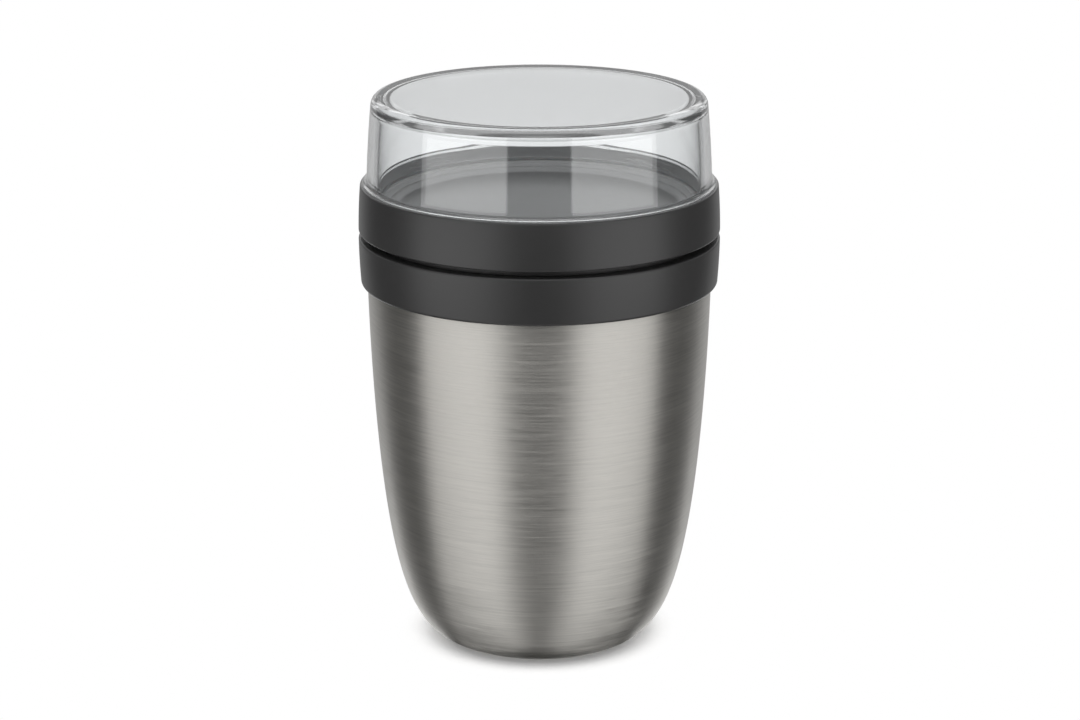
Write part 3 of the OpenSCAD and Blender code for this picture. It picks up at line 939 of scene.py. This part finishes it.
@dataclass
class LowerCollar:
    """The plastic collar on the pot's shoulder, with its threaded neck and flat seal."""

    bottom_z: float = 109.9
    top_z: float = 123.85
    bottom_round: float = 0.9
    gap_round: float = 0.6
    grip_gap: float = 0.1
    flange_bore_r: float = 43.4
    core_wall: float = 2.2
    seal_step: float = 0.8
    thread: Thread = Thread(wall_r=49.6, depth=0.95, middle_z=129.1, **POT_LUGS)
    levels: Levels = LEVELS

    def build_collar(self) -> Piece:
        """Turns the collar with its crowned face and its neck's lugs."""
        s = self.levels
        egg = Egg(s.body_r, 0.0)
        grip_r = egg.radius(s.shoulder_z) + self.grip_gap
        sleeve_r = s.neck_r + self.grip_gap
        seat_z = s.shoulder_z + s.shoulder_h
        slope = s.shoulder_h / (grip_r - sleeve_r)
        core_in_r = s.thread_r + self.grip_gap
        core_out_r = s.collar_face(s.shoulder_z) - self.core_wall
        core_top_z = self.top_z - self.core_wall
        outline = (
            [(grip_r, self.bottom_z)]
            + s.crowned(self.bottom_z, self.top_z, self.bottom_round, self.gap_round)
            + [(s.thread_r, self.top_z)]
            + self.thread.rows()
            + [(s.thread_r, s.neck_top_z), (self.flange_bore_r, s.neck_top_z)]
            + [(self.flange_bore_r, s.flange_z), (sleeve_r, s.flange_z), (sleeve_r, seat_z)]
            + [(core_in_r, seat_z - (core_in_r - sleeve_r) * slope), (core_in_r, core_top_z)]
            + [(core_out_r, core_top_z), (core_out_r, seat_z - (core_out_r - sleeve_r) * slope)]
            + [(grip_r, s.shoulder_z)]
        )
        return turned("collar_low", soften(outline, 0.2), FINE_FLATS, [self.thread.relief])

    def build_seal(self) -> Piece:
        """Turns the flat seal between the flange and the steel lip."""
        s = self.levels
        outline = washer(s.mouth_r + self.seal_step, s.neck_r, s.lip_z, s.flange_z)
        return turned("collar_gasket", soften(outline, 0.2))

    def dress(self) -> None:
        """Builds and dresses both pieces."""
        fit(self.build_collar(), CHARCOAL, Slot.CHARCOAL, Body.POT, "lower_collar")
        fit(self.build_seal(), SEAL, Slot.SEAL, Body.POT, "collar_seal")


@dataclass
class DividerCap:
    """The screw divider: upper collar, dish, plug and seal."""

    bottom_z: float = 125.75
    gap_round: float = 0.6
    crest_round: float = 0.5
    bore_wall: float = 1.2
    groove_in_r: float = 47.0
    groove_out_r: float = 50.2
    groove_top_z: float = 133.75
    dish_r: float = 41.49
    slope_r: float = 44.29
    slope_h: float = 1.3
    seat_reach: float = 0.8
    plug_r: float = 42.4
    plug_low_z: float = 119.35
    plug_t: float = 1.6
    seal_gap: float = 0.1
    seal_h: float = 2.8
    notch_half: float = 0.5
    notch_h: float = 0.4
    pot_thread: Thread = Thread(wall_r=50.9, depth=-0.95, middle_z=127.55, **POT_LUGS)
    levels: Levels = LEVELS

    @property
    def bore_r(self) -> float:
        """Radius of the bore that the lid screws into."""
        return self.levels.collar_face(self.levels.crest_z) - self.bore_wall

    def build_divider(self) -> Piece:
        """Turns the moulding that is both the upper collar and the dish."""
        s = self.levels
        bore = Thread(self.bore_r, depth=-0.8, middle_z=138.55, **LID_LUGS)
        step_r = s.lid_wall(s.lid_bottom_z) - s.lid_t - self.seat_reach
        fall = (s.seat_z - s.floor_z - self.slope_h) / 2
        slope_z = s.floor_z + self.slope_h
        outline = (
            [(0.0, s.plate_z), (self.groove_in_r, s.plate_z), (self.groove_in_r, self.groove_top_z)]
            + [(self.groove_out_r, self.groove_top_z), (self.groove_out_r, s.plate_z)]
            + [(s.skirt_r, s.plate_z)]
            + self.pot_thread.rows()[::-1]
            + [(s.skirt_r, self.bottom_z)]
            + s.crowned(self.bottom_z, s.crest_z, self.gap_round, self.crest_round)
            + [(self.bore_r, s.crest_z)]
            + bore.rows()[::-1]
            + [(self.bore_r, s.seat_z), (step_r, s.seat_z)]
            + [(step_r - fall, slope_z + fall), (self.slope_r, slope_z)]
            + bend(self.dish_r, slope_z, self.slope_r - self.dish_r, self.slope_h, 0, -90, 10)
            + [(r, s.floor_z) for r in DISC_RADII]
        )
        reliefs = [self.pot_thread.relief, bore.relief]
        return turned("divider_moulding", soften(outline, 0.15), FINE_FLATS, reliefs)

    def build_plug(self) -> Piece:
        """Turns the cup under the dish."""
        s = self.levels
        inner_r = self.plug_r - self.plug_t
        floor_z = self.plug_low_z + self.plug_t
        outline = [
            (0.0, self.plug_low_z), (self.plug_r, self.plug_low_z), (self.plug_r, s.plate_z),
            (inner_r, s.plate_z), (inner_r, floor_z), (0.0, floor_z),
        ]
        return turned("plug", soften(outline, 1.2, 6))

    def build_seal(self) -> Piece:
        """Turns the divider's seal with two sealing beads on its underside."""
        low_z = self.levels.neck_top_z
        inner_r, outer_r = self.levels.neck_r + self.seal_gap, self.groove_out_r - self.seal_gap
        middle = (inner_r + outer_r) / 2
        notch = [
            (middle - self.notch_half, low_z),
            (middle, low_z + self.notch_h),
            (middle + self.notch_half, low_z),
        ]
        low, *rest = washer(inner_r, outer_r, low_z, low_z + self.seal_h)
        outline = [low] + notch + rest
        return turned("divider_gasket", soften(outline, 0.35))

    def dress(self) -> None:
        """Builds and dresses the divider, its plug and its seal."""
        fit(self.build_divider(), CHARCOAL_DISH_PAINTED_LIGHT, Slot.CHARCOAL, Body.DIVIDER, "divider")
        fit(self.build_plug(), PLUG_PLASTIC, Slot.PLUG, Body.DIVIDER, "plug_cup")
        fit(self.build_seal(), SEAL, Slot.SEAL, Body.DIVIDER_RING, "divider_seal")
        dress_node("insulation_disc", FOAM)


@dataclass
class ClearLid:
    """The clear screw lid and its flat seal."""

    top_z: float = 165.7
    top_t: float = 2.4
    outer_round: float = 2.6
    inner_round: float = 3.0
    screw_gap: float = 1.15
    foot_clear: float = 0.3
    foot_out: float = 1.2
    foot_edge: float = 0.35
    foot_fillet: float = 1.0
    seal_margin: float = 0.3
    levels: Levels = LEVELS

    @property
    def screw_r(self) -> float:
        """Radius of the wall that carries the lid's thread."""
        return DividerCap().bore_r - self.screw_gap

    def build_lid(self) -> Piece:
        """Turns the lid: crowned wall, rounded edge, flat top, spread foot and lugs."""
        s = self.levels
        thread = Thread(self.screw_r, depth=0.8, middle_z=137.5, **LID_LUGS)
        foot_z = s.crest_z + self.foot_clear
        foot_r = s.lid_wall(foot_z) + self.foot_out
        fillet_z = foot_z + self.foot_edge + self.foot_fillet
        edge_z = self.top_z - self.outer_round
        ceiling_z = self.top_z - self.top_t
        corner_z = ceiling_z - self.inner_round
        bore_r = s.lid_wall(s.lid_bottom_z) - s.lid_t
        top_r = s.lid_wall(edge_z) - self.outer_round
        ceiling_r = s.lid_wall(corner_z) - s.lid_t - self.inner_round
        outer = s.climb(s.lid_wall, fillet_z + self.foot_fillet, edge_z, 20)[:-1]
        inner = s.climb(lambda z: s.lid_wall(z) - s.lid_t, s.lid_bottom_z, corner_z, 20)
        outline = (
            [(bore_r, s.lid_bottom_z), (self.screw_r, s.lid_bottom_z)]
            + thread.rows()
            + [(self.screw_r, foot_z), (foot_r, foot_z)]
            + bend(foot_r, fillet_z, foot_r - s.lid_wall(fillet_z), self.foot_fillet, -90, -180, 8)
            + outer
            + bend(top_r, edge_z, self.outer_round, self.outer_round, 0, 90, 14)
            + [(r, self.top_z) for r in DISC_RADII]
            + [(r, ceiling_z) for r in DISC_RADII[::-1]]
            + bend(ceiling_r, corner_z, self.inner_round, self.inner_round, 90, 0, 12)
            + inner[::-1][1:-1]
        )
        return turned("lid", soften(outline, 0.15), LID_FLATS, [thread.relief])

    def build_seal(self) -> Piece:
        """Turns the flat seal under the lid."""
        s = self.levels
        inner_r = s.lid_wall(s.lid_bottom_z) - s.lid_t + self.seal_margin
        outer_r = self.screw_r - self.seal_margin
        outline = washer(inner_r, outer_r, s.seat_z, s.lid_bottom_z)
        return turned("lid_gasket", soften(outline, 0.25))

    def dress(self) -> None:
        """Builds and dresses the lid and its seal."""
        fit(self.build_lid(), CLEAR, Slot.CLEAR, Body.LID, "clear_lid")
        fit(self.build_seal(), GREY_SEAL, Slot.SEAL, Body.LID_RING, "lid_seal")


@dataclass(frozen=True)
class Card:
    """A soft-edged field of light in the studio.

    turns gives its light by the turn away from the pot's front, where 1 is right behind the pot,
    and tilts by the height, where 0 is straight down, 0.5 level and 1 straight up.
    """

    turns: Stops
    tilts: Stops
    gain: float = 1.0

    def light(self, book: ShaderBook, turn: Link, tilt: Link) -> Link:
        """Gives the card's light in a direction.

        Args:
            book: the world's shader tree.
            turn: the direction's turn.
            tilt: the direction's height.

        Returns:
            The light.
        """
        return book.ramp(turn, self.turns) * book.ramp(tilt, self.tilts) * self.gain


@dataclass(frozen=True)
class Surround:
    """What the pot mirrors: two tall panels in front, a dark gap between, a pale backdrop."""

    panel: Card = Card(
        turns=((0.16, 0.0), (0.18, 0.8), (0.28, 0.92), (0.4, 0.94), (0.47, 0.98), (0.484, 0.0)),
        tilts=((0.14, 1.0), (0.26, 0.9), (0.425, 0.9), (0.44, 0.0), (0.486, 0.0), (0.5, 0.36)),
    )
    strip: Card = Card(
        turns=((0.117, 0.0), (0.121, 1.0), (0.464, 1.0), (0.468, 0.0)),
        tilts=((0.38, 0.0), (0.402, 0.29), (0.425, 0.29), (0.44, 1.0), (0.486, 1.0), (0.497, 0.0)),
        gain=1.9,
    )
    backdrop: Card = Card(
        turns=((0.765, 0.0), (0.79, 1.0)),
        tilts=(
            (0.24, 0.0), (0.285, 0.85), (0.37, 0.85), (0.39, 0.262), (0.48, 0.262),
            (0.515, 0.53), (0.54, 0.53), (0.556, 0.26), (0.57, 0.26), (0.585, 1.0),
            (0.64, 1.0), (0.68, 0.175), (0.76, 0.16), (0.8, 0.02),
        ),
        gain=1.6,
    )
    backdrop_step: Stops = ((0.425, 0.0), (0.435, 0.015))
    backdrop_shade: Card = Card(turns=((0.86, 0.65), (0.9, 0.0)), tilts=((0.49, 0.0), (0.51, 1.0)))
    flags: Stops = ((0.0, 0.1), (0.1, 0.11), (0.3, 0.13), (0.55, 0.09), (0.75, 0.09), (0.8, 0.11))
    flag_shade: Card = Card(turns=((0.4, 0.0), (0.55, 1.0)), tilts=((0.16, 1.0), (0.31, 0.0)))
    low_fill: Card = Card(turns=((0.22, 1.0), (0.32, 0.0)), tilts=((0.2, 0.09), (0.3, 0.0)))
    front_card: Card = Card(
        turns=((0.4, 1.0), (0.5, 0.0)),
        tilts=((0.53, 0.0), (0.57, 0.5), (0.74, 0.5), (0.78, 0.0)),
    )
    side_card: Card = Card(
        turns=((0.6, 0.0), (0.64, 1.0), (0.74, 1.0), (0.78, 0.0)),
        tilts=(
            (0.56, 0.0), (0.58, 0.55), (0.62, 0.55), (0.65, 0.03),
            (0.69, 0.03), (0.715, 0.32), (0.785, 0.32), (0.8, 0.0),
        ),
    )
    canopy: Card = Card(
        turns=((0.5, 1.0), (0.6, 0.0)),
        tilts=((0.72, 0.0), (0.78, 0.6), (0.97, 0.6)),
    )
    overhead: Stops = (
        (0.76, 0.0), (0.8, 0.22), (0.862, 0.22), (0.88, 0.0), (0.92, 0.02), (0.96, 0.22),
    )
    taper_tilt: float = 0.35
    taper: float = 3.5

    def level(self, book: ShaderBook) -> Link:
        """Gives the light from every direction.

        Args:
            book: the world's shader tree.

        Returns:
            The light.
        """
        x, y, z = book.axes(book.add("TexCoord", output="Generated"))
        turn = book.maths("ABSOLUTE", book.maths("ARCTAN2", x, -y)) / math.pi
        tilt = book.maths("ARCSINE", z) / math.pi + 0.5
        tapered = turn * (1 + book.maths("MAXIMUM", self.taper_tilt - tilt, 0.0) * self.taper)
        stepped = turn - book.ramp(tilt, self.backdrop_step)
        light = book.ramp(turn, self.flags) * (1 - self.flag_shade.light(book, turn, tilt))
        light = light + book.ramp(tilt, self.overhead)
        for card in (self.low_fill, self.front_card, self.side_card, self.canopy):
            light = light + card.light(book, turn, tilt)
        for card in (self.panel, self.strip):
            light = light + card.light(book, tapered, tilt)
        shade_off = 1 - self.backdrop_shade.light(book, turn, tilt)
        return light + self.backdrop.light(book, stepped, tilt) * shade_off


@dataclass
class Studio:
    """The photograph's camera, a pale floor and plain soft light."""

    lens: float = 103.6
    sensor: float = 36.0
    camera_y: float = -0.8955
    camera_z: float = 0.3454
    aim: Spot = (0.0002, 0.0, 0.0848)
    floor_half: float = 3.0
    floor_z: float = -0.0002
    floor_reach: float = 0.5
    # Painted shadow: where the floor turns plain white, and how much glow it gets near the pot.
    painted_shadow_end: Stops = ((0.074, 0.0), (0.086, 1.0))
    painted_shadow_glow: Stops = ((0.29, 0.06), (0.329, 0.235), (0.36, 0.42), (0.38, 0.48))
    # Painted shadow: the ring in front of the foot that reflections see as dark floor.
    painted_shadow_ring_reach: Stops = ((0.3, 0.0), (0.31, 1.0), (0.366, 1.0), (0.396, 0.0))
    painted_shadow_ring_turn: Stops = ((0.3, 1.0), (0.37, 0.0))
    fill: float = 0.75
    lamp_place: Spot = (0.0, -0.15, 1.5)
    lamp_size: Point = (1.6, 1.2)
    lamp_power: float = 9.0

    def set_camera(self) -> None:
        """Places the camera as the photograph was taken."""
        data = bpy.data.cameras.new("photo_camera")
        data.lens = self.lens
        data.sensor_width = self.sensor
        camera = placed("photo_camera", data)
        camera.location = (0.0, self.camera_y, self.camera_z)
        look = Vector(self.aim) - camera.location
        camera.rotation_euler = look.to_track_quat("-Z", "Y").to_euler()
        bpy.context.scene.camera = camera

    def floor_material(self) -> bpy.types.Material:
        """Makes the floor's material: white to the camera, but for the pot's soft shadow.

        The soft shadow is partly rendered and partly a painted shadow: near the pot the floor's
        added glow is turned down by the distance from the axis, and further out the floor is plain
        white.
        Reflections look past the floor, except at a ring in front of the pot's foot, where the
        floor is painted near-black as a painted shadow.

        Returns:
            The material.
        """
        material = bpy.data.materials.new("floor_white")
        material.use_nodes = True
        book = ShaderBook(material.node_tree)
        spot = book.add("TexCoord", output="Object")
        across, ahead, _ = book.axes(spot)
        far = book.length(spot)
        # Painted shadow: beyond this reach the floor is plain white, cutting off the rendered
        # shadow.
        past_painted_shadow = book.ramp(far / self.floor_reach, self.painted_shadow_end, True)
        turn = book.maths("ARCTAN2", book.maths("ABSOLUTE", across), -ahead) / math.pi
        # Painted shadow: the ring in front of the foot, where reflections see the floor instead of
        # looking past it.
        ring = book.ramp(far / DECIMETRE, self.painted_shadow_ring_reach) * book.ramp(turn, self.painted_shadow_ring_turn)
        # Painted shadow: the glow added to the floor grows with the distance from the axis, so the
        # floor is darker near the pot.
        light = book.ramp(far / DECIMETRE, self.painted_shadow_glow)
        shown = book.seen()
        mirrored = book.mirrored()
        # Painted shadow: the floor that reflections see in the ring is coloured near-black.
        matt = book.add("BsdfDiffuse", None, {"Color": book.mix(mirrored, grey(0.8), grey(0.08))})
        near = book.add("AddShader", None, {0: matt, 1: book.white("Emission", shown * light)})
        face = book.blend(past_painted_shadow * shown, near, book.white("Emission", 1.0))
        book.finish(book.blend(mirrored * (1 - ring), face, book.add("BsdfTransparent")))
        return material

    def lay_floor(self) -> None:
        """Lays the floor."""
        half = self.floor_half
        corners = [(-half, -half, 0.0), (half, -half, 0.0), (half, half, 0.0), (-half, half, 0.0)]
        mesh = bpy.data.meshes.new("floor")
        mesh.from_pydata(corners, [], [(0, 1, 2, 3)])
        floor = placed("floor", mesh)
        floor.location.z = self.floor_z
        floor.data.materials.append(self.floor_material())

    def hang_world(self) -> None:
        """Hangs the studio round the pot; only what the pot mirrors shows more than plain white."""
        world = bpy.data.worlds.new("studio")
        world.use_nodes = True
        world.cycles.sampling_method = "NONE"
        bpy.context.scene.world = world
        book = ShaderBook(world.node_tree)
        studio = book.white("Background", Surround().level(book))
        fill, shown = book.white("Background", self.fill), book.white("Background", 1.0)
        plain = book.blend(book.seen(), fill, shown)
        book.finish(book.blend(book.mirrored(), plain, studio), "OutputWorld")

    def hang_lamp(self) -> None:
        """Hangs one large soft lamp above the pot."""
        data = bpy.data.lights.new("top_panel", "AREA")
        data.shape = "RECTANGLE"
        data.size, data.size_y = self.lamp_size
        data.energy = self.lamp_power
        data.use_shadow = True
        lamp = placed("top_panel", data)
        lamp.location = self.lamp_place
        lamp.visible_glossy = False
        lamp.visible_transmission = False

    def build(self) -> None:
        """Sets the whole studio."""
        bpy.context.scene.view_settings.view_transform = "Standard"
        self.set_camera()
        self.lay_floor()
        self.hang_world()
        self.hang_lamp()


def main() -> None:
    """Builds the sub-assemblies in order, then the studio."""
    logging.basicConfig(level=logging.INFO, format="%(message)s")
    for assembly in (SteelPot(), LowerCollar(), DividerCap(), ClearLid()):
        assembly.dress()
    Studio().build()


if __name__ == "__main__":
    main()
